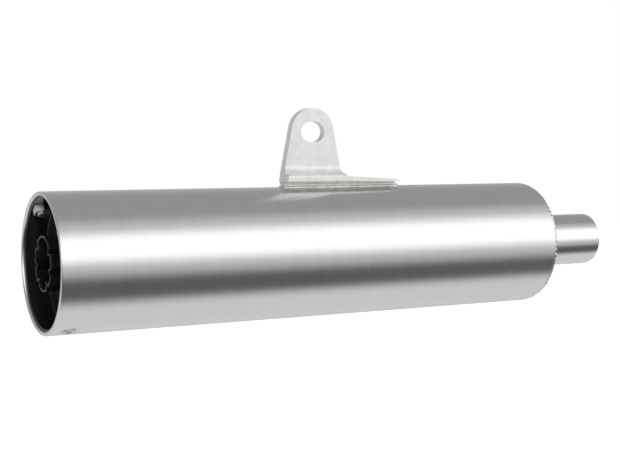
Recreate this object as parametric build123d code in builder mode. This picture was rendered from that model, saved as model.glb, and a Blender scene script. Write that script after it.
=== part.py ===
from build123d import *

# Motorcycle exhaust muffler: a straight-through, packed silencer with a removable sound insert.
#
# Frame: the origin is the centre of the inlet tube's open end. +X runs along the body's axis and out
# of the inlet, +Z points at the mounting bracket, and the gas leaves at the mouth, at -X.
# All sizes are in millimetres. "Station" means a distance from the mouth, measured towards the inlet.

import os
from math import asin, cos, radians, sin, sqrt

os.makedirs("parts", exist_ok=True)

# ---------------------------------------------------------------- driving dimensions
body_length = 397.0  # mouth to the face of the front rim weld
inlet_projection = 65.6  # inlet tube beyond that face
sleeve_radius = 47.5
sleeve_wall = 1.5
rim_hem_length = 24.0  # the sleeve's rear edge is turned in and doubled over this length
inlet_bore_radius = 19.15  # slips over a 38 mm header pipe
tube_wall = 1.5
core_radius = 20.75  # bore of the perforated core, which slips over the inlet tube's spigot
core_wall = 1.2
insert_radius = 17.0
nozzle_radius = 18.5
nozzle_start = 1.6  # its free end stands this far inside the mouth
sheet = 1.2  # cap, nozzle and insert sheet
screw_radius = 3.0  # M6 cap screws
insert_screw_radius = 2.45  # M5 insert screws, drawn at their running size

mouth_x = -(body_length + inlet_projection)
sleeve_bore = sleeve_radius - sleeve_wall
hem_bore = sleeve_bore - sleeve_wall
inlet_radius = inlet_bore_radius + tube_wall


def at(station):
    """The x coordinate of a station behind the mouth."""
    return mouth_x + station


def radial_plane(station, degrees, radius):
    """A plane whose z axis points out of the body at an angle from +Y towards +Z."""
    out = Vector(0, cos(radians(degrees)), sin(radians(degrees)))
    return Plane(origin=Vector(at(station), 0, 0) + out * radius, x_dir=(1, 0, 0), z_dir=out)


# ---------------------------------------------------------------- stations along the body
cap_edge = 2.0
cap_floor = 17.1  # rear face of the cap's floor
cap_back = cap_floor + 1.5
gasket_thickness = 0.8
flange_thickness = 2.5
flange_face = cap_floor - gasket_thickness - flange_thickness
insert_length = 120.0
core_socket_length = 14.0
packing_start = cap_back + core_socket_length
sleeve_end = body_length - 2.2  # the rim weld stands on this edge
plate_depth = 7.8
spigot_end = body_length - 24.0
core_end = body_length - 10.0
packing_end = sleeve_end - plate_depth - 0.4

# Where the two cap screws sit: station and angle from +Y towards +Z. They face each other.
upper_screw = (8.0, 57.5)
lower_screw = (12.8, 247.0)

# ---------------------------------------------------------------- outer sleeve
dimple_floor = sleeve_radius - 1.9
dimple_radius = 6.0
dimple_draft = 45.0
sleeve_hole_radius = 3.2

with BuildPart() as outer_sleeve:
    with BuildSketch(Plane.XY):
        with BuildLine():
            Polyline(
                (at(sleeve_wall), hem_bore),
                (at(rim_hem_length), hem_bore),
                (at(rim_hem_length + sleeve_wall), sleeve_bore),
                (at(sleeve_end), sleeve_bore),
                (at(sleeve_end), sleeve_radius),
                (at(sleeve_wall), sleeve_radius),
            )
            ThreePointArc((at(sleeve_wall), sleeve_radius), (at(0), sleeve_bore), (at(sleeve_wall), hem_bore))
        make_face()
    revolve(axis=Axis.X)
    for station, degrees in (upper_screw, lower_screw):
        with BuildSketch(radial_plane(station, degrees, dimple_floor)):
            Circle(dimple_radius)
        extrude(amount=3.0, taper=-dimple_draft, mode=Mode.SUBTRACT)
        with BuildSketch(radial_plane(station, degrees, hem_bore - 2.0)):
            Circle(sleeve_hole_radius)
        extrude(amount=6.0, mode=Mode.SUBTRACT)

# ---------------------------------------------------------------- front end plate, inlet tube and their welds
plate_sheet = 2.0
plate_rim = sleeve_bore - 0.05
plate_crown = 4.6  # how far the plate's neck stands out of its rim
neck_bore = inlet_radius + 0.05

with BuildPart() as front_end_plate:
    with BuildSketch(Plane.XY):
        with BuildLine():
            Polyline(
                (at(sleeve_end - plate_depth), plate_rim),
                (at(sleeve_end), plate_rim),
                (at(sleeve_end), plate_rim - 4.0),
                (at(sleeve_end + plate_crown), neck_bore + 6.0),
                (at(sleeve_end + plate_crown + 2.5), neck_bore + plate_sheet),
                (at(sleeve_end + plate_crown + 2.5), neck_bore),
                (at(sleeve_end + plate_crown - 0.6), neck_bore),
                (at(sleeve_end + plate_crown - plate_sheet), neck_bore + 4.6),
                (at(sleeve_end - plate_sheet), plate_rim - 4.8),
                (at(sleeve_end - plate_sheet), plate_rim - plate_sheet),
                (at(sleeve_end - plate_depth), plate_rim - plate_sheet),
                close=True,
            )
        make_face()
    revolve(axis=Axis.X)
    bends = (neck_bore + 6.0, plate_rim - 4.0)
    shoulders = front_end_plate.edges().filter_by(GeomType.CIRCLE).filter_by(
        lambda edge: any(abs(edge.radius - bend) < 0.01 for bend in bends)
    )
    fillet(shoulders, radius=3.0)

bead_radius = 1.9
bead_centre_radius = sleeve_bore - 0.6  # the bead stays inside the sleeve's outer surface
bead_lift = 0.2  # its centre stands this far beyond the sleeve's edge
half_bead = sqrt(bead_radius**2 - bead_lift**2)

with BuildPart() as front_rim_weld:
    with BuildSketch(Plane.XY):
        with BuildLine():
            ThreePointArc(
                (at(sleeve_end), bead_centre_radius + half_bead),
                (at(sleeve_end + bead_lift + bead_radius), bead_centre_radius),
                (at(sleeve_end), bead_centre_radius - half_bead),
            )
            Line(
                (at(sleeve_end), bead_centre_radius - half_bead),
                (at(sleeve_end), bead_centre_radius + half_bead),
            )
        make_face()
    revolve(axis=Axis.X)

with BuildPart() as inlet_tube:
    with BuildSketch(Plane.XY):
        with Locations((at(spigot_end), inlet_bore_radius)):
            Rectangle(-at(spigot_end), tube_wall, align=(Align.MIN, Align.MIN))
    revolve(axis=Axis.X)
    chamfer(inlet_tube.edges().group_by(Axis.X)[-1].sort_by(SortBy.RADIUS)[-1], length=0.5)

inlet_bead = 2.4
neck_face = sleeve_end + plate_crown + 2.5
with BuildPart() as inlet_weld:
    with BuildSketch(Plane.XY):
        with BuildLine():
            ThreePointArc(
                (at(neck_face), inlet_radius + inlet_bead),
                (at(neck_face) + inlet_bead * 0.8, inlet_radius + inlet_bead * 0.75),
                (at(neck_face) + inlet_bead, inlet_radius),
            )
            Polyline(
                (at(neck_face) + inlet_bead, inlet_radius),
                (at(neck_face), inlet_radius),
                (at(neck_face), inlet_radius + inlet_bead),
            )
        make_face()
    revolve(axis=Axis.X)

# ---------------------------------------------------------------- perforated core and its packing
hole_rows = 20
holes_round = 10
core_hole_radius = 2.5
core_start = cap_back
row_pitch = (core_end - 18.0 - packing_start) / hole_rows

with BuildPart() as perforated_core:
    with BuildSketch(Plane.XY):
        with Locations((at(core_start), core_radius)):
            Rectangle(core_end - core_start, core_wall, align=(Align.MIN, Align.MIN))
    revolve(axis=Axis.X)
    # Each drill passes through both walls, and every second row is turned by half a pitch.
    drills = []
    for row in range(hole_rows):
        stagger = (row % 2) * 180.0 / holes_round
        for turn in range(holes_round // 2):
            angle = turn * 360.0 / holes_round + stagger
            drills.append(Location((at(packing_start + (row + 0.5) * row_pitch), 0, 0), (angle, 0, 0)))
    with Locations(*drills):
        Cylinder(core_hole_radius, 2 * core_radius + 4 * core_wall, mode=Mode.SUBTRACT)

socket_wall = 1.2
socket_bore = core_radius + core_wall + 0.05
with BuildPart() as core_socket:
    with BuildSketch(Plane.XY):
        with Locations((at(cap_back), socket_bore)):
            Rectangle(core_socket_length - 1.0, socket_wall, align=(Align.MIN, Align.MIN))
    revolve(axis=Axis.X)

socket_bead = 1.5
with BuildPart() as core_socket_weld:
    with BuildSketch(Plane.XY):
        with BuildLine():
            Polyline(
                (at(cap_back), socket_bore + socket_wall),
                (at(cap_back), socket_bore + socket_wall + socket_bead),
                (at(cap_back) + socket_bead, socket_bore + socket_wall),
                close=True,
            )
        make_face()
    revolve(axis=Axis.X)

wool_thickness = 3.0
wool_bore = core_radius + core_wall + 0.05
packing_length = packing_end - packing_start
with BuildPart() as steel_wool_wrap:
    with BuildSketch(Plane.XY):
        with Locations((at(packing_start), wool_bore)):
            Rectangle(packing_length, wool_thickness, align=(Align.MIN, Align.MIN))
    revolve(axis=Axis.X)

packing_bore = wool_bore + wool_thickness + 0.05
with BuildPart() as glass_fibre_packing:
    with BuildSketch(Plane.XY):
        with Locations((at(packing_start), packing_bore)):
            Rectangle(packing_length, sleeve_bore - 0.1 - packing_bore, align=(Align.MIN, Align.MIN))
    revolve(axis=Axis.X)

# ---------------------------------------------------------------- end cap: a black dished plate with a skirt
skirt_radius = hem_bore - 0.1
skirt_bore = skirt_radius - sheet
cap_bore = insert_radius + 0.3
insert_screw_y = 29.0
insert_screw_spots = [(insert_screw_y, 0), (-insert_screw_y, 0)]
cross_plane = Plane.YZ  # x axis is +Y, y axis is +Z, and it faces +X

with BuildPart() as end_cap:
    with BuildSketch(Plane.XY):
        with BuildLine():
            Polyline(
                (at(cap_edge), skirt_radius),
                (at(cap_back), skirt_radius),
                (at(cap_back), cap_bore),
                (at(cap_floor), cap_bore),
                (at(cap_floor), skirt_bore),
                (at(cap_edge), skirt_bore),
                close=True,
            )
        make_face()
    revolve(axis=Axis.X)
    outer_corner = end_cap.edges().filter_by(GeomType.CIRCLE).filter_by(
        lambda edge: abs(edge.radius - skirt_radius) < 0.01
    )
    fillet(outer_corner.sort_by(Axis.X)[-1], radius=1.1)
    with BuildSketch(cross_plane.offset(at(cap_floor) - 1.0)):
        with Locations(*insert_screw_spots):
            Circle(insert_screw_radius + 0.2)
    extrude(amount=4.0, mode=Mode.SUBTRACT)
    for station, degrees in (upper_screw, lower_screw):
        with BuildSketch(radial_plane(station, degrees, skirt_bore - 2.0)):
            Circle(sleeve_hole_radius)
        extrude(amount=5.0, mode=Mode.SUBTRACT)

# ---------------------------------------------------------------- cap screws, their nut and threaded bush
head_radius = 5.3
head_height = 2.0
screw_length = 9.4
hex_key = 4.0
key_depth = 1.4
with BuildPart() as cap_screws:
    for station, degrees in (upper_screw, lower_screw):
        seat = radial_plane(station, degrees, dimple_floor)
        with BuildSketch(seat):
            Circle(head_radius)
        extrude(amount=head_height, taper=18)
        with BuildSketch(seat):
            Circle(screw_radius - 0.05)
        extrude(amount=-screw_length)
        with BuildSketch(seat.offset(head_height - key_depth)):
            RegularPolygon(hex_key / 2, 6, major_radius=False)
        extrude(amount=2.0, mode=Mode.SUBTRACT)

nut_across_flats = 10.0
nut_height = 5.0
nut_seat = skirt_bore - 0.4
with BuildPart() as cap_nut:
    with BuildSketch(radial_plane(*upper_screw, nut_seat)):
        RegularPolygon(nut_across_flats / 2, 6, major_radius=False, rotation=30)
        Circle(screw_radius, mode=Mode.SUBTRACT)
    extrude(amount=-nut_height)
    inner_face = cap_nut.faces().filter_by(GeomType.PLANE).sort_by(Axis.Z)[0]
    chamfer(inner_face.outer_wire().edges(), length=0.6)

bush_radius = 3.9
with BuildPart() as cap_bush:
    with BuildSketch(radial_plane(*lower_screw, skirt_bore - 0.2)):
        Circle(bush_radius)
        Circle(screw_radius, mode=Mode.SUBTRACT)
    extrude(amount=-nut_height)

# ---------------------------------------------------------------- sound insert, which pulls out of the mouth
ear_radius = 6.4
flange_radius = 21.6


def two_eared_outline():
    """The flange's outline: a round middle with a screw ear on each side."""
    make_hull(
        [
            Edge.make_circle(flange_radius),
            Edge.make_circle(ear_radius, Plane((insert_screw_y, 0, 0))),
            Edge.make_circle(ear_radius, Plane((-insert_screw_y, 0, 0))),
        ]
    )


with BuildPart() as insert_gasket:
    with BuildSketch(cross_plane.offset(at(cap_floor - gasket_thickness))):
        two_eared_outline()
        Circle(cap_bore, mode=Mode.SUBTRACT)
        with Locations(*insert_screw_spots):
            Circle(insert_screw_radius + 0.2, mode=Mode.SUBTRACT)
    extrude(amount=gasket_thickness)

with BuildPart() as insert_flange:
    with BuildSketch(cross_plane.offset(at(flange_face))):
        two_eared_outline()
        Circle(insert_radius + 0.02, mode=Mode.SUBTRACT)
        with Locations(*insert_screw_spots):
            Circle(insert_screw_radius + 0.05, mode=Mode.SUBTRACT)
    extrude(amount=flange_thickness)

insert_hole_radius = 1.75
insert_rows = 14
insert_row_pitch = 7.5
with BuildPart() as insert_tube:
    with BuildSketch(Plane.XY):
        with Locations((at(flange_face), insert_radius - sheet)):
            Rectangle(insert_length, sheet, align=(Align.MIN, Align.MIN))
    revolve(axis=Axis.X)
    drills = []
    for row in range(insert_rows):
        for turn in range(4):
            angle = turn * 45.0 + (row % 2) * 22.5
            drills.append(Location((at(flange_face + 14.0 + row * insert_row_pitch), 0, 0), (angle, 0, 0)))
    with Locations(*drills):
        Cylinder(insert_hole_radius, 2 * insert_radius + 2, mode=Mode.SUBTRACT)

restrictor_radius = 9.0
with BuildPart() as insert_end_disc:
    with BuildSketch(cross_plane.offset(at(flange_face + insert_length - 2.0))):
        Circle(insert_radius - sheet - 0.02)
        Circle(restrictor_radius, mode=Mode.SUBTRACT)
    extrude(amount=1.5)

# The outlet nozzle is a tube end crimped inwards at six places, which leaves six lobes. Its crimps are
# mirror images about a line that leans a little from the vertical.
nozzle_lean = -3.5
crimps = sorted(angle + nozzle_lean for angle in (36.0, 144.0, 191.0, 235.5, 304.5, 349.0))
crimp_half_width = 8.5
crimp_depth = 4.4
crimp_flare = 4.0  # the bore's valleys are wider by this many degrees on each side


def lobed_outline(radius, valley_radius, half_width):
    """Six lobes on one circle, with a round valley at each crimp. Angles run from -Y up over +Z."""

    def point(degrees, r):
        return (-r * cos(radians(degrees)), r * sin(radians(degrees)))

    with BuildLine(Plane.XY) as outline:
        for crimp, following in zip(crimps, crimps[1:] + [crimps[0] + 360.0]):
            start = crimp + half_width
            end = following - half_width
            ThreePointArc(point(start, radius), point((start + end) / 2, radius), point(end, radius))
            ThreePointArc(
                point(end, radius), point(following, valley_radius), point(following + half_width, radius)
            )
    make_face(outline.edges())


with BuildPart() as outlet_nozzle:
    with BuildSketch(cross_plane.offset(at(nozzle_start))) as nozzle_outline:
        lobed_outline(nozzle_radius, nozzle_radius - crimp_depth, crimp_half_width)
        fillet(nozzle_outline.vertices(), radius=0.9)
    extrude(amount=flange_face - nozzle_start)
    with BuildSketch(cross_plane.offset(at(nozzle_start))) as nozzle_bore:
        bore_radius = nozzle_radius - sheet
        lobed_outline(bore_radius, bore_radius - crimp_depth, crimp_half_width + crimp_flare)
        fillet(nozzle_bore.vertices(), radius=0.6)
    extrude(amount=flange_face - nozzle_start, mode=Mode.SUBTRACT)

insert_bead = 1.6
with BuildPart() as insert_weld:
    with BuildSketch(Plane.XY):
        with BuildLine():
            Polyline(
                (at(flange_face), nozzle_radius + 0.05),
                (at(flange_face), nozzle_radius + insert_bead),
                (at(flange_face) - insert_bead, nozzle_radius + 0.05),
                close=True,
            )
        make_face()
    revolve(axis=Axis.X)

insert_head_radius = 4.75
insert_head_height = 2.7
insert_shank = 11.0
with BuildPart() as insert_screws:
    for spot in insert_screw_spots:
        with BuildSketch(cross_plane.offset(at(flange_face))):
            with Locations(spot):
                Circle(insert_head_radius)
        extrude(amount=-insert_head_height, taper=18)
        with BuildSketch(cross_plane.offset(at(flange_face))):
            with Locations(spot):
                Circle(insert_screw_radius)
        extrude(amount=insert_shank)
        with BuildSketch(cross_plane.offset(at(flange_face) - insert_head_height)):
            with Locations(spot):
                RegularPolygon(1.5, 6, major_radius=False)
        extrude(amount=1.6, mode=Mode.SUBTRACT)

with BuildPart() as insert_nuts:
    for spot in insert_screw_spots:
        with BuildSketch(cross_plane.offset(at(cap_back))):
            with Locations(spot):
                RegularPolygon(4.0, 6, major_radius=False, rotation=30)
                Circle(insert_screw_radius + 0.06, mode=Mode.SUBTRACT)
        extrude(amount=4.0)

# ---------------------------------------------------------------- mounting bracket, its pad and their welds
tab_station = 202.0
tab_thickness = 6.4
tab_top_radius = 17.3
tab_eye_height = 87.4
tab_flare = 0.2  # each side leans out by this much for each millimetre down
slot_length = 19.3
slot_width = 14.8
foot_bottom = 51.0
foot_top = 57.0
root_fillet = 6.0
foot_edge_round = 2.8
foot_under_round = 1.2
foot_near = tab_thickness / 2 + root_fillet + foot_edge_round  # the foot reaches this far towards -Y
foot_far = tab_thickness / 2  # towards +Y it is flush with the tab
tongue_root = 226.5
tongue_root_top = 55.2
tongue_end_top = 52.7
tongue_tip = 273.5
tongue_narrowing = 1.5
pad_near = 5.2
pad_far = 4.6
pad_start = 178.0
pad_end = 275.5
plan_corner = 3.0  # corners of the pad and its welds, seen from above
pad_nose = (3.5, 3.2)  # how far back and down its front end slopes
seam_bead = 1.3  # the bead between the foot and the pad
open_seam = 182.0  # that bead starts here, and leaves the seam open at the foot's rear end
pad_bead = 1.8  # the bead between the pad and the sleeve

lean = asin(tab_flare / sqrt(1 + tab_flare**2))
eye_x = at(tab_station)
shoulder = tab_top_radius * cos(lean)  # half-width where the round top runs into the straight sides
shoulder_height = tab_eye_height + tab_top_radius * sin(lean)
tab_half_base = shoulder + tab_flare * (shoulder_height - foot_bottom)
foot_start = tab_station - tab_half_base


def plan(start, end, near, far, corner):
    """An outline seen from above: straight sides, a narrower front end and round corners."""
    with BuildLine(Plane.XY) as outline:
        FilletPolyline(
            (at(start), -near),
            (at(tongue_root), -near),
            (at(end), -near + tongue_narrowing),
            (at(end), far),
            (at(start), far),
            radius=corner,
            close=True,
        )
    make_face(outline.edges())


with BuildPart() as mounting_bracket:
    # Side view: the tab's round top and leaning sides, over a flat foot that runs on as a thinning tongue.
    with BuildSketch(Plane.XZ):
        with BuildLine():
            ThreePointArc(
                (eye_x - shoulder, shoulder_height),
                (eye_x, tab_eye_height + tab_top_radius),
                (eye_x + shoulder, shoulder_height),
            )
            Polyline(
                (eye_x + shoulder, shoulder_height),
                (eye_x + tab_half_base - tab_flare * (foot_top - foot_bottom), foot_top),
                (at(tongue_root + 0.6), tongue_root_top),
                (at(tongue_tip - 6.0), tongue_end_top),
                (at(tongue_tip - 2.0), foot_bottom + 1.0),
                (at(tongue_tip), foot_bottom),
                (eye_x - tab_half_base, foot_bottom),
                (eye_x - shoulder, shoulder_height),
            )
        make_face()
    extrude(amount=foot_near, both=True)
    # End view: an upright web over a foot on its near side, with a fillet at the root and a round edge.
    near_face = -tab_thickness / 2
    root_y = near_face - root_fillet
    root_z = foot_top + root_fillet
    edge_z = foot_top - foot_edge_round
    with BuildSketch(Plane.YZ.offset(at(foot_start) - 1.0)):
        with BuildLine():
            Polyline(
                (near_face, root_z),
                (near_face, tab_eye_height + 2 * tab_top_radius),
                (foot_far, tab_eye_height + 2 * tab_top_radius),
                (foot_far, foot_bottom),
                (-foot_near + foot_under_round, foot_bottom),
            )
            RadiusArc(
                (-foot_near + foot_under_round, foot_bottom),
                (-foot_near, foot_bottom + foot_under_round),
                foot_under_round,
            )
            Line((-foot_near, foot_bottom + foot_under_round), (-foot_near, edge_z))
            RadiusArc((-foot_near, edge_z), (root_y, foot_top), foot_edge_round)
            RadiusArc((root_y, foot_top), (near_face, root_z), -root_fillet)
        make_face()
    extrude(amount=tongue_tip - foot_start + 2.0, mode=Mode.INTERSECT)
    with BuildSketch(Plane.XY.offset(foot_bottom - 1.0)):
        plan(foot_start, tongue_tip, foot_near, foot_far, 1.5)
    extrude(amount=80.0, mode=Mode.INTERSECT)
    with BuildSketch(Plane.XZ):
        with Locations((eye_x, tab_eye_height)):
            SlotOverall(slot_length, slot_width)
    extrude(amount=tab_thickness, both=True, mode=Mode.SUBTRACT)

body_axis_plane = Plane.YZ.offset(mouth_x)
pad_base = 40.0  # well under the sleeve's surface, where the round body cuts the pad off
with BuildPart() as bracket_pad:
    with BuildSketch(Plane.XY.offset(pad_base)):
        plan(pad_start, pad_end, pad_near, pad_far, plan_corner)
    extrude(amount=foot_bottom - pad_base)
    with BuildSketch(body_axis_plane):
        Circle(sleeve_radius)
    extrude(amount=body_length, mode=Mode.SUBTRACT)
    with BuildSketch(Plane.XZ):
        with BuildLine():
            Polyline(
                (at(pad_end), foot_bottom - pad_nose[1]),
                (at(pad_end), foot_bottom + 1.0),
                (at(pad_end - pad_nose[0]), foot_bottom + 1.0),
                (at(pad_end - pad_nose[0]), foot_bottom),
                close=True,
            )
        make_face()
    extrude(amount=2 * foot_near, both=True, mode=Mode.SUBTRACT)

with BuildPart() as bracket_weld:
    with BuildSketch(Plane.XY.offset(sleeve_radius + pad_bead + 0.1)):
        seam_end = pad_end - pad_nose[0] + seam_bead
        plan(pad_start - seam_bead, seam_end, pad_near + seam_bead, pad_far + seam_bead, plan_corner)
    extrude(amount=2.6, taper=15)
    add(mounting_bracket.part, mode=Mode.SUBTRACT)
    add(bracket_pad.part, mode=Mode.SUBTRACT)
    with BuildSketch(Plane.XY.offset(foot_bottom - 4.0)):
        with Locations((at(open_seam), 0)):
            Rectangle(20.0, 4 * foot_near, align=(Align.MAX, Align.CENTER))
    extrude(amount=8.0, mode=Mode.SUBTRACT)

with BuildPart() as pad_weld:
    with BuildSketch(Plane.XY.offset(pad_base)):
        plan(pad_start - pad_bead, pad_end + pad_bead, pad_near + pad_bead, pad_far + pad_bead, plan_corner)
    extrude(amount=foot_bottom - pad_base)
    with BuildSketch(body_axis_plane):
        Circle(sleeve_radius + pad_bead)
        Circle(sleeve_radius, mode=Mode.SUBTRACT)
    extrude(amount=body_length, mode=Mode.INTERSECT)
    add(bracket_pad.part, mode=Mode.SUBTRACT)

pieces = {
    "outer_sleeve": outer_sleeve,
    "front_end_plate": front_end_plate,
    "front_rim_weld": front_rim_weld,
    "inlet_tube": inlet_tube,
    "inlet_weld": inlet_weld,
    "perforated_core": perforated_core,
    "core_socket": core_socket,
    "core_socket_weld": core_socket_weld,
    "steel_wool_wrap": steel_wool_wrap,
    "glass_fibre_packing": glass_fibre_packing,
    "end_cap": end_cap,
    "cap_screws": cap_screws,
    "cap_nut": cap_nut,
    "cap_bush": cap_bush,
    "insert_gasket": insert_gasket,
    "insert_flange": insert_flange,
    "insert_tube": insert_tube,
    "insert_end_disc": insert_end_disc,
    "outlet_nozzle": outlet_nozzle,
    "insert_weld": insert_weld,
    "insert_screws": insert_screws,
    "insert_nuts": insert_nuts,
    "mounting_bracket": mounting_bracket,
    "bracket_pad": bracket_pad,
    "bracket_weld": bracket_weld,
    "pad_weld": pad_weld,
}
for name, piece in pieces.items():
    piece.part.label = name
    export_step(piece.part, f"parts/{name}.step")
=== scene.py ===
# %% [markdown]
# # A motorcycle muffler in brushed stainless steel
# The muffler was drawn as solids first, so this lesson starts by loading that model as a fixed frame.
# Its parts never move or change size here. We give each one a finish, and where a part needs finer
# shape than a solid has, such as a weld's ripples, we make a new surface in exactly its place.

import bmesh
import bpy
import numpy as np
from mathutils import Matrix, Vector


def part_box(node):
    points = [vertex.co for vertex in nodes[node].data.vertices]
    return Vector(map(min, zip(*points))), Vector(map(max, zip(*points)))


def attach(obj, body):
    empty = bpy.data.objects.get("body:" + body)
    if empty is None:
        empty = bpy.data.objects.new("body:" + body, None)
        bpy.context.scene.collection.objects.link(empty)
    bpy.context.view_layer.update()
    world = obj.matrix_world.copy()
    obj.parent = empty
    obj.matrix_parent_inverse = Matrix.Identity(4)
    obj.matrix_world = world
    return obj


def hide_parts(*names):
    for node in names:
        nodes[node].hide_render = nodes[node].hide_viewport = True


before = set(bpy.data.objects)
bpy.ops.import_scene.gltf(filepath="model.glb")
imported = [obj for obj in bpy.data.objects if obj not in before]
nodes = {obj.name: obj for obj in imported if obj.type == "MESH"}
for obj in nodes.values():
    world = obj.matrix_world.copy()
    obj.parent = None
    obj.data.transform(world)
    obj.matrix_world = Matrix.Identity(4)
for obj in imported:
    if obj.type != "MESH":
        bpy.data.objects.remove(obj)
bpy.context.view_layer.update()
MM = 0.001
print("CAD nodes:", len(nodes))

# %% [markdown]
# ## Measures taken from the frame
# Every size below is read from the boxes of the parts, so the looks follow the model if it changes.
# The body lies along X: the mouth is at its lowest X, and the inlet tube ends at the origin.

# %% Read the driving sizes
sleeve_low, sleeve_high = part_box("outer_sleeve")
MOUTH = sleeve_low.x
SLEEVE_END = sleeve_high.x
SLEEVE_R = sleeve_high.y
WALL = 1.5 * MM
HEM_BORE = SLEEVE_R - 2 * WALL
print("mouth at", round(MOUTH, 4), "sleeve radius", round(SLEEVE_R, 4))

# %% [markdown]
# ## Helpers for surfaces
# A surface is an array of points with two parameters. One helper turns such a grid into a mesh with
# whole-array arithmetic. Every surface here closes on itself both ways, like a tube bent into a ring, so
# it encloses a volume, and the sign of that volume says whether the faces look outwards.


# %% Grid to mesh
def grid_mesh(name, points):
    """points[i, j] is the surface at parameters u_i, v_j, closed both ways. Quad (i, j) joins that point
    to the next row and column."""
    rows, cols = points.shape[:2]
    i, j = (index.ravel() for index in np.meshgrid(np.arange(rows), np.arange(cols), indexing="ij"))
    next_i, next_j = (i + 1) % rows, (j + 1) % cols
    quads = np.stack([i * cols + j, i * cols + next_j, next_i * cols + next_j, next_i * cols + j], axis=1)
    flat = points.reshape(-1, 3)
    a, b, c, d = (flat[quads[:, k]] for k in range(4))
    volume = np.einsum("ij,ij->i", np.cross(b - a, c - a), a).sum()
    volume += np.einsum("ij,ij->i", np.cross(c - a, d - a), a).sum()
    if volume < 0:
        quads = quads[:, ::-1]
    mesh = bpy.data.meshes.new(name)
    mesh.from_pydata(flat.tolist(), [], quads.tolist())
    mesh.polygons.foreach_set("use_smooth", np.ones(len(mesh.polygons), bool))
    mesh.update()
    piece = bpy.data.objects.new(name, mesh)
    bpy.context.scene.collection.objects.link(piece)
    print(name, "faces:", len(mesh.polygons))
    return piece


# %% [markdown]
# Turned parts, such as tubes, cups and rings, are one profile carried round the axis. Real sheet has
# no knife edges, so the profile's corners are rounded with arcs before it is turned.


# %% Rounded profiles and turned surfaces
def rounded_profile(corners, steps=6):
    """corners are (x, r, radius) round a closed loop. Each is replaced by points along a quadratic arc
    that leaves and joins its two sides at the given distance from the corner."""
    pts = np.array([c[:2] for c in corners], float)
    cut = np.array([c[2] for c in corners], float)
    before, after = np.roll(pts, 1, axis=0), np.roll(pts, -1, axis=0)
    to_before = (before - pts) / np.linalg.norm(before - pts, axis=1, keepdims=True)
    to_after = (after - pts) / np.linalg.norm(after - pts, axis=1, keepdims=True)
    start, end = pts + to_before * cut[:, None], pts + to_after * cut[:, None]
    t = np.linspace(0, 1, steps)[None, :, None]
    arcs = (1 - t) ** 2 * start[:, None] + 2 * t * (1 - t) * pts[:, None] + t**2 * end[:, None]
    return arcs.reshape(-1, 2)


def split_long_sides(profile, longest):
    """Adds evenly spaced points on each side of the closed profile that is longer than `longest`."""
    out = []
    for p, q in zip(profile, np.roll(profile, -1, axis=0)):
        count = max(1, int(np.ceil(np.linalg.norm(q - p) / longest)))
        out.append(p + (q - p) * (np.arange(count) / count)[:, None])
    return np.concatenate(out)


def turned(name, profile, segments):
    """A profile of (x, r) points turned round the X axis: y = r cos(angle), z = r sin(angle)."""
    angles = np.arange(segments) / segments * 2 * np.pi
    x = np.broadcast_to(profile[:, 0:1], (len(profile), len(angles)))
    y = profile[:, 1:2] * np.cos(angles)
    z = profile[:, 1:2] * np.sin(angles)
    return grid_mesh(name, np.stack([x, y, z], axis=-1))


# %% [markdown]
# ## The camera
# The view is a long lens from the mouth's side, a little above the body's axis. A camera is turned
# about X first, from looking straight down to nearly level, and then about Z.

# %% Camera
CAMERA_YAW = np.radians(28.72)
CAMERA_DIP = np.radians(4.143)
camera_data = bpy.data.cameras.new("camera")
camera_data.sensor_width = 36.0
camera_data.lens = 68.9
camera = bpy.data.objects.new("camera", camera_data)
camera.location = (MOUTH - 0.2164, -0.7625, 0.0753)
camera.rotation_euler = (np.pi / 2 - CAMERA_DIP, 0, -CAMERA_YAW)
bpy.context.scene.collection.objects.link(camera)
bpy.context.scene.camera = camera
print("camera", [round(value, 4) for value in camera.location], "lens", camera_data.lens)

# %% [markdown]
# ## Studio light
# Polished steel shows its surroundings, so the light is drawn as a studio that wraps round the body.
# A long softbox stands at the camera's side, a little above the body. Under it is a dark gap, then the
# pale floor. Overhead hangs a grey ceiling, and a paler wall closes the far side. The world shader finds
# the angle of each direction about the X axis and looks it up in a ramp of those few surfaces. The
# softbox comes closer at the inlet's end, so there it looks taller: the angle is squeezed towards its
# middle. The camera itself sees plain white, and an area light above shapes the soft floor shadow.

# %% Node helpers
def add(tree, kind, **settings):
    """A new node with some of its attributes set."""
    node = tree.nodes.new(kind)
    for key, value in settings.items():
        setattr(node, key, value)
    return node


def math_node(tree, operation, *values, clamp=False):
    """A Math node whose inputs are numbers or sockets."""
    node = add(tree, "ShaderNodeMath", operation=operation, use_clamp=clamp)
    for socket, value in zip(node.inputs, values):
        if isinstance(value, (int, float)):
            socket.default_value = value
        else:
            tree.links.new(value, socket)
    return node.outputs[0]


# %% What stands round the body
# Degrees up from level at the camera's side, and brightness.
STUDIO = [
    (-180, 0.55),  # middle of the far wall
    (-130, 0.75),  # floor, from the far side
    (-78, 0.75),  # floor, to almost under the body
    (-50, 0.12),  # dark gap, its lower edge
    (-30, 0.12),  # dark gap, its upper edge
    (-5, 0.6),  # the softbox's soft lower edge
    (15, 1.4),  # softbox, from here
    (35, 1.4),  # to here
    (60, 0.6),  # its soft upper edge
    (80, 0.36),  # ceiling, from here
    (130, 0.36),  # to here
    (180, 0.55),  # the far wall again
]
PEAK = 1.6  # a ramp's colours stop at 1, so the ramp holds shares of this strength
SOFTBOX_MIDDLE = np.radians(25.0)
SQUEEZE = 0.25  # share taken off the angle at the inlet's end
print("studio bands:", len(STUDIO))

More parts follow.
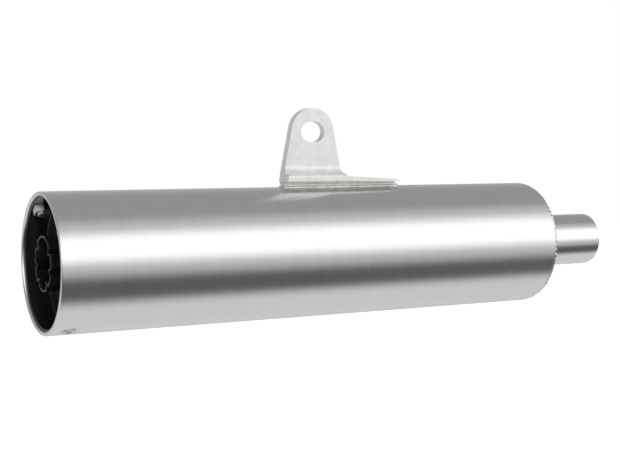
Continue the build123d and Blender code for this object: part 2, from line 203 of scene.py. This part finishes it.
# %% World shader
world = bpy.data.worlds.new("studio")
bpy.context.scene.world = world
world.use_nodes = True
tree = world.node_tree
tree.nodes.clear()
direction = add(tree, "ShaderNodeSeparateXYZ")
tree.links.new(add(tree, "ShaderNodeTexCoord").outputs["Generated"], direction.inputs[0])
dx, dy, dz = direction.outputs
angle = math_node(tree, "ARCTAN2", dz, math_node(tree, "MULTIPLY", dy, -1.0))
towards_inlet = math_node(tree, "MULTIPLY", math_node(tree, "SUBTRACT", dx, 0.3), 3.0, clamp=True)
off_middle = math_node(tree, "SUBTRACT", angle, float(SOFTBOX_MIDDLE))
near_softbox = math_node(tree, "MAXIMUM", math_node(tree, "COSINE", off_middle), 0.0)
taken = math_node(tree, "MULTIPLY", math_node(tree, "MULTIPLY", towards_inlet, near_softbox), SQUEEZE)
angle = math_node(tree, "SUBTRACT", angle, math_node(tree, "MULTIPLY", off_middle, taken))
turn = math_node(tree, "ADD", math_node(tree, "DIVIDE", angle, 2 * np.pi), 0.5)
ramp = add(tree, "ShaderNodeValToRGB")
ramp.color_ramp.interpolation = "EASE"
while len(ramp.color_ramp.elements) < len(STUDIO):
    ramp.color_ramp.elements.new(0.5)
for stop, (degrees, level) in zip(ramp.color_ramp.elements, STUDIO):
    stop.position = (degrees + 180) / 360
    stop.color = (level / PEAK,) * 3 + (1,)
tree.links.new(turn, ramp.inputs[0])
studio = add(tree, "ShaderNodeBackground")
studio.inputs["Strength"].default_value = PEAK
tree.links.new(ramp.outputs["Color"], studio.inputs["Color"])
plain = add(tree, "ShaderNodeBackground")
plain.inputs["Color"].default_value = (1, 1, 1, 1)
mix = add(tree, "ShaderNodeMixShader")
tree.links.new(add(tree, "ShaderNodeLightPath").outputs["Is Camera Ray"], mix.inputs[0])
tree.links.new(studio.outputs[0], mix.inputs[1])
tree.links.new(plain.outputs[0], mix.inputs[2])
tree.links.new(mix.outputs[0], add(tree, "ShaderNodeOutputWorld").inputs[0])

# %% [markdown]
# **Floor and overhead light.** The floor is a large plain square well below the body, so it darkens only
# a little under it. It glows faintly to stay white to the picture's edge. Neither the floor nor the
# overhead panel shows in the steel, because the world's bands already draw what the steel reflects.

# %% Picture settings, floor and overhead light
bpy.context.scene.view_settings.view_transform = "Standard"
FLOOR_DROP = 0.42
floor_mesh = bpy.data.meshes.new("floor")
half = 6.0  # half the square's side, in metres
floor_z = sleeve_low.z - FLOOR_DROP
floor_mesh.from_pydata(
    [(-half, -half, floor_z), (half, -half, floor_z), (half, half, floor_z), (-half, half, floor_z)],
    [],
    [(0, 1, 2, 3)],
)
floor = bpy.data.objects.new("floor", floor_mesh)
bpy.context.scene.collection.objects.link(floor)
floor.visible_glossy = False
floor_paint = bpy.data.materials.new("pale_floor")
floor_paint.use_nodes = True
floor_shader = floor_paint.node_tree.nodes["Principled BSDF"]
floor_shader.inputs["Base Color"].default_value = (0.93, 0.93, 0.93, 1)
floor_shader.inputs["Roughness"].default_value = 0.9
floor_shader.inputs["Emission Color"].default_value = (1, 1, 1, 1)
floor_shader.inputs["Emission Strength"].default_value = 0.5
floor_mesh.materials.append(floor_paint)

soft_light = bpy.data.lights.new("overhead_panel", "AREA")
soft_light.shape = "RECTANGLE"
soft_light.size, soft_light.size_y = 1.6, 1.2
soft_light.energy = 9.0
overhead = bpy.data.objects.new("overhead_panel", soft_light)
overhead.location = (-0.3, -0.35, 1.5)
overhead.rotation_euler = (np.radians(-13), 0, 0)
overhead.visible_glossy = False
bpy.context.scene.collection.objects.link(overhead)
print("floor at", round(floor_z, 4))

# %% [markdown]
# ## Effects that several finishes share
# A node group is a little machine with named inputs. Brushed steel, welds, blasted castings and black
# enamel all need fine irregularity, so each effect is built once as a group and placed in every
# material that needs it with its own values.


# %% Group maker
def new_group(name, inputs, outputs):
    """An empty shader group with its sockets, and its two end nodes."""
    group = bpy.data.node_groups.new(name, "ShaderNodeTree")
    for label, kind, default in inputs:
        socket = group.interface.new_socket(label, in_out="INPUT", socket_type=kind)
        socket.default_value = default
    for label, kind in outputs:
        group.interface.new_socket(label, in_out="OUTPUT", socket_type=kind)
    return group, group.nodes.new("NodeGroupInput"), group.nodes.new("NodeGroupOutput")


def noise(tree, vector, scale, detail, roughness):
    """Noise whose settings are plain numbers."""
    node = add(tree, "ShaderNodeTexNoise")
    node.inputs["Scale"].default_value = scale
    node.inputs["Detail"].default_value = detail
    node.inputs["Roughness"].default_value = roughness
    tree.links.new(vector, node.inputs["Vector"])
    return node.outputs["Fac"]


# %% [markdown]
# **Brushing round the body.** The sleeve was polished in a lathe, so its scratches run round it. In
# cylinder coordinates that is simple: noise that changes quickly along X and hardly at all with the
# angle. The angle is kept as a cosine and sine, because an angle itself would leave a seam.

# %% Round brushing group
FLOAT = "NodeSocketFloat"
brushing, g_in, g_out = new_group(
    "round_brushing",
    [("Lines per metre", FLOAT, 2600.0), ("Turns", FLOAT, 1.5)],
    [("Lines", FLOAT), ("Patches", FLOAT)],
)
place = add(brushing, "ShaderNodeSeparateXYZ")
brushing.links.new(add(brushing, "ShaderNodeTexCoord").outputs["Object"], place.inputs[0])
radius = math_node(
    brushing,
    "SQRT",
    math_node(
        brushing,
        "ADD",
        math_node(brushing, "MULTIPLY", place.outputs[1], place.outputs[1]),
        math_node(brushing, "MULTIPLY", place.outputs[2], place.outputs[2]),
    ),
)
safe_radius = math_node(brushing, "MAXIMUM", radius, 0.001)
along = math_node(brushing, "MULTIPLY", place.outputs[0], g_in.outputs[0])
cosine = math_node(brushing, "DIVIDE", place.outputs[1], safe_radius)
sine = math_node(brushing, "DIVIDE", place.outputs[2], safe_radius)
across_y = math_node(brushing, "MULTIPLY", cosine, g_in.outputs[1])
across_z = math_node(brushing, "MULTIPLY", sine, g_in.outputs[1])
stretched = add(brushing, "ShaderNodeCombineXYZ")
for socket, value in zip(stretched.inputs, (along, across_y, across_z)):
    brushing.links.new(value, socket)
brushing.links.new(noise(brushing, stretched.outputs[0], 1.0, 4.0, 0.7), g_out.inputs[0])
coarse = add(brushing, "ShaderNodeVectorMath", operation="MULTIPLY")
coarse.inputs[1].default_value = (0.06, 1.3, 1.3)
brushing.links.new(stretched.outputs[0], coarse.inputs[0])
brushing.links.new(noise(brushing, coarse.outputs[0], 1.0, 3.0, 0.6), g_out.inputs[1])

# %% [markdown]
# **Grain.** Blasted metal, enamel and graphite are all speckled in every direction. The group gives a
# fine speckle for bumps and a broad one that shifts colour and roughness over the surface.

# %% Grain group
grain, g_in, g_out = new_group(
    "grain", [("Fine", FLOAT, 1500.0), ("Broad", FLOAT, 60.0)], [("Speckle", FLOAT), ("Patches", FLOAT)]
)
coords = add(grain, "ShaderNodeTexCoord").outputs["Object"]
for socket, depth, out in ((0, 2.0, 0), (1, 4.0, 1)):
    speckle = add(grain, "ShaderNodeTexNoise")
    speckle.inputs["Detail"].default_value = depth
    grain.links.new(coords, speckle.inputs["Vector"])
    grain.links.new(g_in.outputs[socket], speckle.inputs["Scale"])
    grain.links.new(speckle.outputs["Fac"], g_out.inputs[out])


# %% [markdown]
# ## Finishes
# Each finish is one Principled shader. Groups feed its colour, roughness and normal. Numbers that are
# the same everywhere, such as how metallic it is, are set on the shader itself.


# %% Material helpers
def new_finish(name, metallic, **shader_values):
    """A material, its tree and its Principled shader, with plain values set on the shader's sockets."""
    material = bpy.data.materials.new(name)
    material.use_nodes = True
    tree = material.node_tree
    shader = tree.nodes["Principled BSDF"]
    shader.inputs["Metallic"].default_value = metallic
    for label, value in shader_values.items():
        shader.inputs[label.replace("_", " ")].default_value = value
    return material, tree, shader


def group_node(tree, group, **values):
    """A shared effect placed in a material, with its own values."""
    node = add(tree, "ShaderNodeGroup", node_tree=group)
    for label, value in values.items():
        node.inputs[label.replace("_", " ")].default_value = value
    return node


def spread(tree, mask, low, high, from_low=0.3, from_high=0.7):
    """Maps a mask to a range of values."""
    node = add(tree, "ShaderNodeMapRange")
    node.inputs["From Min"].default_value = from_low
    node.inputs["From Max"].default_value = from_high
    node.inputs["To Min"].default_value = low
    node.inputs["To Max"].default_value = high
    tree.links.new(mask, node.inputs["Value"])
    return node.outputs[0]


def two_colours(tree, mask, first, second):
    """Mixes two colours by a mask."""
    node = add(tree, "ShaderNodeMix", data_type="RGBA")
    node.inputs["A"].default_value = (*first, 1)
    node.inputs["B"].default_value = (*second, 1)
    tree.links.new(mask, node.inputs["Factor"])
    return node.outputs["Result"]


def bump(tree, height, distance):
    """A normal bent by a height between 0 and 1, which stands for `distance` metres."""
    node = add(tree, "ShaderNodeBump")
    node.inputs["Distance"].default_value = distance
    node.inputs["Strength"].default_value = 1.0
    tree.links.new(height, node.inputs["Height"])
    return node.outputs["Normal"]


# %% [markdown]
# ### Brushed stainless
# The sleeve is a satin stainless. Its scratches stretch reflections along the body, which is what
# anisotropy does, and the fine lines break the highlight up. The same finish with finer lines suits
# the inlet tube, and with a duller value the pressed front plate and the perforated core.


# %% Brushed steel finishes
def brushed_steel(name, colour, roughness, lines, line_height, anisotropy=0.0):
    material, tree, shader = new_finish(name, 1.0, Anisotropic=anisotropy, Anisotropic_Rotation=0.25)
    marks = group_node(tree, brushing, Lines_per_metre=lines)
    mask = spread(tree, marks.outputs["Lines"], 0.0, 1.0)
    patches = spread(tree, marks.outputs["Patches"], 0.0, 1.0)
    darker = tuple(c * 0.91 for c in colour)
    fine_share = math_node(tree, "MULTIPLY", mask, 0.6)
    both = math_node(tree, "ADD", fine_share, math_node(tree, "MULTIPLY", patches, 0.4))
    tree.links.new(two_colours(tree, both, darker, colour), shader.inputs["Base Color"])
    uneven = spread(tree, both, roughness - 0.03, roughness + 0.03, 0.0, 1.0)
    tree.links.new(uneven, shader.inputs["Roughness"])
    tree.links.new(bump(tree, marks.outputs["Lines"], line_height), shader.inputs["Normal"])
    if anisotropy:
        tangent = add(tree, "ShaderNodeTangent", direction_type="RADIAL", axis="X")
        tree.links.new(tangent.outputs[0], shader.inputs["Tangent"])
    return material


STEEL = (0.80, 0.795, 0.785)
sleeve_finish = brushed_steel("brushed_sleeve", STEEL, 0.25, 3200.0, 0.000004, 0.6)
tube_finish = brushed_steel("brushed_tube", STEEL, 0.19, 3800.0, 0.000003, 0.5)
plate_finish = brushed_steel("pressed_plate", (0.72, 0.715, 0.70), 0.34, 1800.0, 0.00001)
core_finish = brushed_steel("mill_core", (0.62, 0.60, 0.57), 0.42, 900.0, 0.00001)

# %% [markdown]
# ### Blasted bracket, welds and screws
# The bracket was blasted before welding: matte, pale and faintly mottled. It is set only partly
# metallic, because blasted metal scatters light much as paint does. The welds are bright and uneven. The
# screws are zinc plated and a little dull. Enamel, graphite, wool and fibre use the same grain.


# %% Blasted, welded and plated finishes
def grained(name, metallic, first, second, rough, fine, broad, height, **shader_values):
    material, tree, shader = new_finish(name, metallic, **shader_values)
    marks = group_node(tree, grain, Fine=fine, Broad=broad)
    patches = spread(tree, marks.outputs["Patches"], 0.0, 1.0)
    tree.links.new(two_colours(tree, patches, first, second), shader.inputs["Base Color"])
    tree.links.new(spread(tree, patches, rough[0], rough[1], 0.0, 1.0), shader.inputs["Roughness"])
    tree.links.new(bump(tree, marks.outputs["Speckle"], height), shader.inputs["Normal"])
    return material


bracket_finish = grained(
    "blasted_bracket", 0.6, (0.72, 0.715, 0.705), (0.84, 0.835, 0.825), (0.46, 0.56), 2200.0, 180.0, 0.00006
)
weld_finish = grained(
    "weld_bead", 1.0, (0.58, 0.56, 0.54), (0.82, 0.81, 0.79), (0.2, 0.34), 1600.0, 220.0, 0.00003
)
screw_finish = grained(
    "zinc_screw", 1.0, (0.62, 0.62, 0.62), (0.76, 0.76, 0.75), (0.3, 0.42), 1800.0, 260.0, 0.00002
)
enamel_finish = grained(
    "black_enamel", 0.0, (0.006, 0.006, 0.0065), (0.011, 0.0105, 0.011), (0.22, 0.32), 900.0, 70.0, 0.00002,
    Specular_IOR_Level=0.5,
)
graphite_finish = grained(
    "graphite_gasket", 0.0, (0.02, 0.02, 0.021), (0.05, 0.05, 0.052), (0.55, 0.8), 2600.0, 120.0, 0.0001
)
wool_finish = grained(
    "steel_wool", 0.8, (0.16, 0.16, 0.16), (0.42, 0.42, 0.41), (0.45, 0.7), 2600.0, 500.0, 0.0006
)
fibre_finish = grained(
    "glass_fibre", 0.0, (0.62, 0.58, 0.44), (0.86, 0.84, 0.74), (0.8, 0.95), 1400.0, 160.0, 0.0008
)
print("finishes:", len(bpy.data.materials))

# %% [markdown]
# ## The sleeve
# The real sleeve is rolled sheet whose rear edge is turned in, so the mouth shows a round, doubled
# lip. Two dimples are pressed in it for the cap screws. A turned profile gives the tube. The grid is
# finer near the mouth, and there the radius is eased down to each dimple's flat floor.

# %% Dimples and the angles round the body
FIXINGS = {"upper": np.radians(57.5), "lower": np.radians(247.0)}
STATIONS = {"upper": 8.0 * MM, "lower": 12.8 * MM}
DIMPLE_FLOOR = SLEEVE_R - 1.9 * MM
DIMPLE_INNER, DIMPLE_OUTER = 5.9 * MM, 7.6 * MM


def smoothstep(t):
    t = np.clip(t, 0, 1)
    return t * t * (3 - 2 * t)


def sleeve_angles():
    """Angles round the body, closer together across each dimple."""
    even = np.arange(200) / 200 * 2 * np.pi
    span = np.arcsin(DIMPLE_OUTER * 1.15 / SLEEVE_R)
    fine = [np.linspace(centre - span, centre + span, 48) for centre in FIXINGS.values()]
    keep = np.ones(len(even), bool)
    for centre in FIXINGS.values():
        keep &= np.abs((even - centre + np.pi) % (2 * np.pi) - np.pi) > span
    return np.sort(np.concatenate([even[keep], *fine]) % (2 * np.pi))


# %% [markdown]
# The profile runs along the outside from the front edge to the mouth, round the lip, and back inside
# past the end of the hem. The front edge is a square corner, and smooth shading would smear it over the
# whole of the next face, so two close rows hold it in place.

# %% Sleeve profile
nose = np.radians(np.linspace(90, 270, 17))
nose_x = MOUTH + WALL + WALL * np.cos(nose)
nose_r = SLEEVE_R - WALL + WALL * np.sin(nose)
HEM_LENGTH = 24 * MM
FINE_FROM = MOUTH + 22 * MM  # the rows are closer together from here to the mouth, for the dimples
MELTED = 1.6 * MM  # the rim weld has melted this much of the sleeve's front edge into its bead
SHELL_END = SLEEVE_END - MELTED
CORNER_ROW = 0.15 * MM  # rows this close to the cut end keep the smooth shading from rounding it off
outer_x = np.concatenate(
    [
        [SHELL_END],
        np.linspace(SHELL_END - CORNER_ROW, FINE_FROM, 40)[:-1],
        np.linspace(FINE_FROM, MOUTH + WALL, 48)[:-1],
    ]
)
inner = [
    (MOUTH + HEM_LENGTH, HEM_BORE),
    (MOUTH + HEM_LENGTH + WALL, SLEEVE_R - WALL),
    (SHELL_END - CORNER_ROW, SLEEVE_R - WALL),
    (SHELL_END, SLEEVE_R - WALL),
    (SHELL_END, SLEEVE_R - WALL + CORNER_ROW),
    (SHELL_END, SLEEVE_R - CORNER_ROW),
]
sleeve_profile = np.concatenate(
    [np.stack([outer_x, np.full(len(outer_x), SLEEVE_R)], 1), np.stack([nose_x, nose_r], 1), np.array(inner)]
)
print("sleeve profile points:", len(sleeve_profile))

# %% Sleeve surface
angles = sleeve_angles()
X = np.repeat(sleeve_profile[:, :1], len(angles), axis=1)
R = np.repeat(sleeve_profile[:, 1:], len(angles), axis=1)
outside = np.zeros(len(sleeve_profile), bool)
outside[: len(outer_x)] = True
for name, centre in FIXINGS.items():
    turned_by = (angles - centre + np.pi) % (2 * np.pi) - np.pi
    distance = np.hypot(X - (MOUTH + STATIONS[name]), SLEEVE_R * turned_by[None, :])
    near = np.where(np.abs(turned_by) < 0.5, turned_by, 0.0)
    floor_r = DIMPLE_FLOOR / np.cos(near)[None, :]
    ease = 1 - smoothstep((distance - DIMPLE_INNER) / (DIMPLE_OUTER - DIMPLE_INNER))
    R = np.where(outside[:, None] & (distance < DIMPLE_OUTER), R + (floor_r - R) * ease, R)
sleeve = grid_mesh("sleeve_shell", np.stack([X, R * np.cos(angles), R * np.sin(angles)], axis=-1))
sleeve.data.materials.append(sleeve_finish)
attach(sleeve, "muffler")
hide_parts("outer_sleeve")

# %% [markdown]
# ## Tube and end plate
# The inlet tube is a plain turned tube with a deburred end. The front plate is pressed: a rim that
# stands in the sleeve, a shallow cone and a short neck for the tube. Rounded corners are what make
# sheet metal look pressed and not cut from a block.

# %% Inlet tube
tube_low, tube_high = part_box("inlet_tube")
TUBE_R = tube_high.y
tube_profile = split_long_sides(
    rounded_profile(
        [
            (tube_low.x, TUBE_R, 0.3 * MM),
            (tube_high.x, TUBE_R, 0.55 * MM),
            (tube_high.x, TUBE_R - WALL, 0.4 * MM),
            (tube_low.x, TUBE_R - WALL, 0.3 * MM),
        ]
    ),
    6 * MM,
)
tube = turned("inlet_pipe", tube_profile, 144)
tube.data.materials.append(tube_finish)
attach(tube, "muffler")
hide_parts("inlet_tube")

# %% Front plate
plate_low, plate_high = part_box("front_end_plate")
RIM_R = plate_high.y
NECK_R = TUBE_R + 0.05 * MM
SHEET = 2 * MM
CROWN = plate_high.x - 2.5 * MM
plate_profile = split_long_sides(
    rounded_profile(
        [
            (plate_low.x, RIM_R, 0.3 * MM),
            (SLEEVE_END, RIM_R, 0.6 * MM),
            (SLEEVE_END, RIM_R - 4 * MM, 2.4 * MM),
            (CROWN, NECK_R + 6 * MM, 3.0 * MM),
            (plate_high.x, NECK_R + SHEET, 0.6 * MM),
            (plate_high.x, NECK_R, 0.3 * MM),
            (CROWN - 0.6 * MM, NECK_R, 0.6 * MM),
            (CROWN - SHEET, NECK_R + 4.6 * MM, 1.6 * MM),
            (SLEEVE_END - SHEET, RIM_R - 4.8 * MM, 1.4 * MM),
            (SLEEVE_END - SHEET, RIM_R - SHEET, 0.5 * MM),
            (plate_low.x, RIM_R - SHEET, 0.3 * MM),
        ]
    ),
    4 * MM,
)
plate = turned("front_plate", plate_profile, 192)
plate.data.materials.append(plate_finish)
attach(plate, "muffler")
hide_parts("front_end_plate")

# %% [markdown]
# ## Weld beads
# A hand-fed weld is laid as a row of overlapping puddles. Each puddle is a crescent: its middle is
# ahead of its edges. So the bead's section swells and drops once per puddle, with a delay that grows
# towards the section's edges, and every puddle differs a little in size.


# %% Bead along a closed path
def weld_bead(name, path, outward, radius, pitch, seed, swell=0.16, around=14):
    """path[i] is the bead's centre, closed, and outward[i] the unit vector its crown points along. The
    section at i is a circle of radius r(i, a), with r = radius (1 + swell s), where s falls in a
    sawtooth once per pitch of length, later at the section's sides than on its crown."""
    step = np.linalg.norm(np.roll(path, -1, axis=0) - path, axis=1)
    length = np.concatenate([[0], np.cumsum(step)])[:-1]
    puddles = max(3, int(round(step.sum() / pitch)))
    tangent = np.roll(path, -1, axis=0) - np.roll(path, 1, axis=0)
    tangent /= np.linalg.norm(tangent, axis=1, keepdims=True)
    crown = outward - np.einsum("ij,ij->i", outward, tangent)[:, None] * tangent
    crown /= np.linalg.norm(crown, axis=1, keepdims=True)
    side = np.cross(tangent, crown)
    a = np.arange(around) / around * 2 * np.pi
    phase = (length / step.sum() * puddles)[:, None] - 0.45 * (1 - np.cos(a))[None, :]
    number = np.floor(phase).astype(int) % puddles
    random = np.random.default_rng(seed).uniform(-1, 1, puddles)
    saw = 1 - (phase - np.floor(phase))
    rise = smoothstep((1 - saw) / 0.18)
    s = saw * rise - 0.5 + 0.35 * random[number]
    r = np.broadcast_to(radius, len(path))[:, None] * (1 + swell * s)
    section = np.cos(a)[None, :, None] * crown[:, None] + np.sin(a)[None, :, None] * side[:, None]
    points = path[:, None] + r[..., None] * section
    return grid_mesh(name, points)


def dress_weld(piece, node):
    """The finish and the frame's bookkeeping that every bead needs."""
    piece.data.materials.append(weld_finish)
    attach(piece, "muffler")
    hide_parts(node)


def circle_path(x, radius, count):
    """Points round a circle about the X axis, and the unit vector outwards at each."""
    t = np.arange(count) / count * 2 * np.pi
    ring = np.stack([np.zeros(count), np.cos(t), np.sin(t)], 1)
    return ring * radius + np.array([x, 0, 0]), ring


# %% [markdown]
# **Two round welds.** The big bead closes the front rim. Its heat has melted the sleeve's edge away, so
# it lies where that edge was, just inside the sleeve's outer surface. The small one fills the corner
# between the plate's neck and the inlet tube.

# %% Welds round the front rim and the inlet
path, ring = circle_path(SLEEVE_END - 0.3 * MM, SLEEVE_R - 1.95 * MM, 1100)
rim_weld = weld_bead("rim_bead", path, ring + np.array([0.7, 0, 0]), 1.6 * MM, 3.7 * MM, seed=4, swell=0.24)
dress_weld(rim_weld, "front_rim_weld")

neck_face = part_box("inlet_weld")[0].x
path, ring = circle_path(neck_face + 0.3 * MM, TUBE_R + 0.5 * MM, 560)
inlet_bead = weld_bead("inlet_bead", path, ring + np.array([1.0, 0, 0]), 1.75 * MM, 2.4 * MM, seed=9)
dress_weld(inlet_bead, "inlet_weld")

# %% [markdown]
# ## Bracket
# The bracket's solid already has the right shape, but its edges are razor sharp. A blasted forging
# has soft edges that catch a line of light. We copy the mesh, merge its loose corners and let a Bevel
# modifier round every edge that turns by more than SHARP. Weighted normals keep the flat faces flat.
# The bevel keeps its clamp: without it, short edges at the foot's corners shoot out as spikes.


# %% Softened copies of CAD parts
SHARP = np.radians(28)


def softened(node, name, width, finish, body="muffler"):
    """A copy of a CAD node's mesh with merged vertices, flat faces made whole and rounded edges."""
    work = bmesh.new()
    work.from_mesh(nodes[node].data)
    bmesh.ops.remove_doubles(work, verts=work.verts, dist=1e-6)
    bmesh.ops.dissolve_limit(work, angle_limit=np.radians(0.5), verts=work.verts, edges=work.edges)
    work.verts.index_update()
    mesh = bpy.data.meshes.new(name)
    mesh.from_pydata([v.co[:] for v in work.verts], [], [[v.index for v in f.verts] for f in work.faces])
    work.free()
    mesh.polygons.foreach_set("use_smooth", np.ones(len(mesh.polygons), bool))
    mesh.materials.append(finish)
    piece = bpy.data.objects.new(name, mesh)
    bpy.context.scene.collection.objects.link(piece)
    rounding = piece.modifiers.new("rounded_edges", "BEVEL")
    rounding.width = width
    rounding.segments = 3
    rounding.limit_method = "ANGLE"
    rounding.angle_limit = SHARP
    shading = piece.modifiers.new("flat_faces_stay_flat", "WEIGHTED_NORMAL")
    shading.weight = 100
    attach(piece, body)
    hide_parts(node)
    return piece


softened("mounting_bracket", "hanger_bracket", 1.0 * MM, bracket_finish)
softened("bracket_pad", "hanger_pad", 0.5 * MM, bracket_finish)
softened("cap_screws", "cap_screw_set", 0.25 * MM, screw_finish)
softened("cap_nut", "cap_hex_nut", 0.25 * MM, screw_finish)

# %% [markdown]
# The bracket's two beads follow the pad's outline, seen from above. The upper one lies in the corner
# between the pad and the foot that overhangs it, and fades out before the rear end, where the seam is
# left open. The lower one rides down over the round body, so its height follows the sleeve's circle.

# %% Outline paths for the bracket's welds
pad_low, pad_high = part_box("bracket_pad")
TONGUE_ROOT = MOUTH + 226.5 * MM
NARROWING = 1.5 * MM
CORNER = 3 * MM
NOSE = 3.5 * MM  # the pad's front end slopes back by this much under the foot


def pad_outline(grow, end_x, spacing=0.2 * MM):
    """The pad's outline seen from above, grown outwards, as evenly spaced points."""
    corners = [
        (pad_low.x - grow, pad_low.y - grow, CORNER),
        (TONGUE_ROOT, pad_low.y - grow, CORNER),
        (end_x + grow, pad_low.y - grow + NARROWING, CORNER),
        (end_x + grow, pad_high.y + grow, CORNER),
        (pad_low.x - grow, pad_high.y + grow, CORNER),
    ]
    return split_long_sides(rounded_profile(corners, 24), spacing)


def leaning_out(xy, lift):
    """For each point of a closed outline, the unit vector out of it, raised by `lift`."""
    along = np.roll(xy, -1, axis=0) - np.roll(xy, 1, axis=0)
    along /= np.linalg.norm(along, axis=1, keepdims=True)
    out = np.column_stack([along[:, 1], -along[:, 0], np.full(len(xy), lift)])
    return out / np.linalg.norm(out, axis=1, keepdims=True)


OPEN_SEAM = MOUTH + 182 * MM
xy = pad_outline(-0.05 * MM, pad_high.x - NOSE)
path = np.column_stack([xy, np.full(len(xy), pad_high.z - 0.3 * MM)])
present = 0.2 + 0.8 * smoothstep((xy[:, 0] - OPEN_SEAM) / (4 * MM))
seam = weld_bead("seam_bead", path, leaning_out(xy, -0.3), 1.1 * MM * present, 2.6 * MM, seed=21, swell=0.06)
dress_weld(seam, "bracket_weld")

xy = pad_outline(0.1 * MM, pad_high.x)
path = np.column_stack([xy, np.sqrt(SLEEVE_R**2 - xy[:, 1] ** 2) + 0.1 * MM])
pad_bead = weld_bead("pad_bead", path, leaning_out(xy, 1.0), 0.95 * MM, 2.6 * MM, seed=33, swell=0.06)
dress_weld(pad_bead, "pad_weld")

# %% [markdown]
# ## The mouth
# Inside the mouth is a pressed cup with a skirt, enamelled black. It could be cut from the model's solid,
# but a turned profile gives it the round corners of pressed sheet.

# %% End cap
cap_low, cap_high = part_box("end_cap")
SKIRT_R = cap_high.y
CAP_BORE = 17.3 * MM
CAP_SHEET = 1.2 * MM
CAP_FLOOR = cap_high.x - 1.5 * MM
cap_profile = split_long_sides(
    rounded_profile(
        [
            (cap_low.x, SKIRT_R, 0.5 * MM),
            (cap_high.x, SKIRT_R, 1.1 * MM),
            (cap_high.x, CAP_BORE, 0.4 * MM),
            (CAP_FLOOR, CAP_BORE, 0.4 * MM),
            (CAP_FLOOR, SKIRT_R - CAP_SHEET, 0.9 * MM),
            (cap_low.x, SKIRT_R - CAP_SHEET, 0.5 * MM),
        ]
    ),
    3 * MM,
)
cap = turned("mouth_cup", cap_profile, 192)
cap.data.materials.append(enamel_finish)
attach(cap, "muffler")
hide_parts("end_cap")

# %% [markdown]
# **Nozzle.** In the cup's middle is the sound insert's outlet: a tube end that has been crimped inwards
# at six places. It is a lobed outline carried along X, with a rounded lip at its free end. The crimps
# aren't evenly spaced, so their angles are listed, and the whole leans a little from the vertical.

# %% Nozzle
nozzle_low, nozzle_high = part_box("outlet_nozzle")
NOZZLE_R = 18.5 * MM
NOZZLE_WALL = 1.2 * MM
LEAN = -3.5
CRIMPS = np.radians(np.array([36.0, 144.0, 191.0, 235.5, 304.5, 349.0]) + LEAN)
CRIMP_DEPTH = 4.4 * MM
CRIMP_HALF = np.radians(9.2)


def crimp_share(angle, grow):
    """How deep in a crimp an angle is, from 0 on a lobe to 1 at a crimp's middle, with angles from -Y
    over the top. The share is 1 - smoothstep(|angle - crimp| / (half + grow))."""
    dip = np.zeros_like(angle)
    for crimp in CRIMPS:
        off = (angle - crimp + np.pi) % (2 * np.pi) - np.pi
        dip = np.maximum(dip, 1 - smoothstep(np.abs(off) / (CRIMP_HALF + grow)))
    return dip


angle = np.arange(720) / 720 * 2 * np.pi
lip = NOZZLE_WALL / 2
lip_arc = np.radians(np.linspace(90, 270, 9))
to_lip = np.linspace(nozzle_high.x, nozzle_low.x + lip, 8)[:-1]
wall_x = np.concatenate([to_lip, nozzle_low.x + lip + lip * np.cos(lip_arc), to_lip[::-1]])
wall_side = np.concatenate([np.zeros(7), (1 - np.sin(lip_arc)) / 2, np.ones(7)])
INNER_GROW = 0.05  # the bore's valleys are wider by this angle on each side
outer_r = NOZZLE_R - CRIMP_DEPTH * crimp_share(angle, 0.0)
inner_r = NOZZLE_R - NOZZLE_WALL - CRIMP_DEPTH * crimp_share(angle, INNER_GROW)
r = outer_r[None, :] * (1 - wall_side[:, None]) + inner_r[None, :] * wall_side[:, None]
x = np.broadcast_to(wall_x[:, None], r.shape)
nozzle = grid_mesh("crimped_nozzle", np.stack([x, -r * np.cos(angle), r * np.sin(angle)], axis=-1))
nozzle.data.materials.append(enamel_finish)
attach(nozzle, "sound_insert")
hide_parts("outlet_nozzle")

# %% Flange and screws of the insert
softened("insert_flange", "two_bolt_flange", 0.4 * MM, enamel_finish, "sound_insert")
softened("insert_screws", "insert_screw_set", 0.2 * MM, screw_finish, "sound_insert")

# %% [markdown]
# ## Parts that stay as they are
# The rest is plain turned or drilled metal inside the body. Their solids are right already, so each
# one only gets a finish. Smooth shading with a limit on sharp angles comes with the model.

# %% Finishes for the inner parts
KEPT = {
    "perforated_core": core_finish,
    "core_socket": core_finish,
    "core_socket_weld": weld_finish,
    "steel_wool_wrap": wool_finish,
    "glass_fibre_packing": fibre_finish,
    "cap_bush": screw_finish,
    "insert_gasket": graphite_finish,
    "insert_nuts": screw_finish,
    "insert_tube": core_finish,
    "insert_end_disc": core_finish,
    "insert_weld": enamel_finish,
}
for node, finish in KEPT.items():
    for slot in nodes[node].material_slots:
        slot.material = finish
print("parts that keep their own mesh:", len(KEPT))
